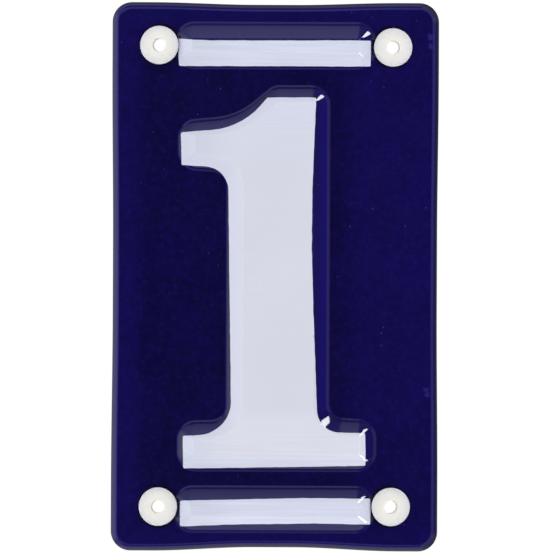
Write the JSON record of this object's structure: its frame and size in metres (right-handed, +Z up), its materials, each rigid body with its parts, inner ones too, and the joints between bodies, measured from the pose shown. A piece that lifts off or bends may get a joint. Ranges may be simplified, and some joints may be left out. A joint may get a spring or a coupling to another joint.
{
  "type": "house number plaque",
  "caption": "Upright pressed enamel plaque with a raised white figure between raised white bars on blue, and a plastic grommet in each corner for screws.",
  "frame": {"origin": "centre of the rectangle of screw holes, on the wall plane that the rolled rim rests on", "axes": "+Z up the plaque, +X to the right as it is read, and -Y out of its front, so +Y points into the wall"},
  "size_m": [0.0714, 0.0054, 0.1199],
  "materials": {
    "blue_enamel": "deep blue vitreous enamel, glossy",
    "white_enamel": "cool white vitreous enamel, glossy",
    "grommet_plastic": "warm white nylon, semi-gloss"
  },
  "bodies": {
    "root": {"number_plate": "blue_enamel", "white_figure": "white_enamel", "white_top_bar": "white_enamel", "white_bottom_bar": "white_enamel", "grommet_top_left": "grommet_plastic", "grommet_top_right": "grommet_plastic", "grommet_bottom_left": "grommet_plastic", "grommet_bottom_right": "grommet_plastic"}
  },
  "joints": []
}
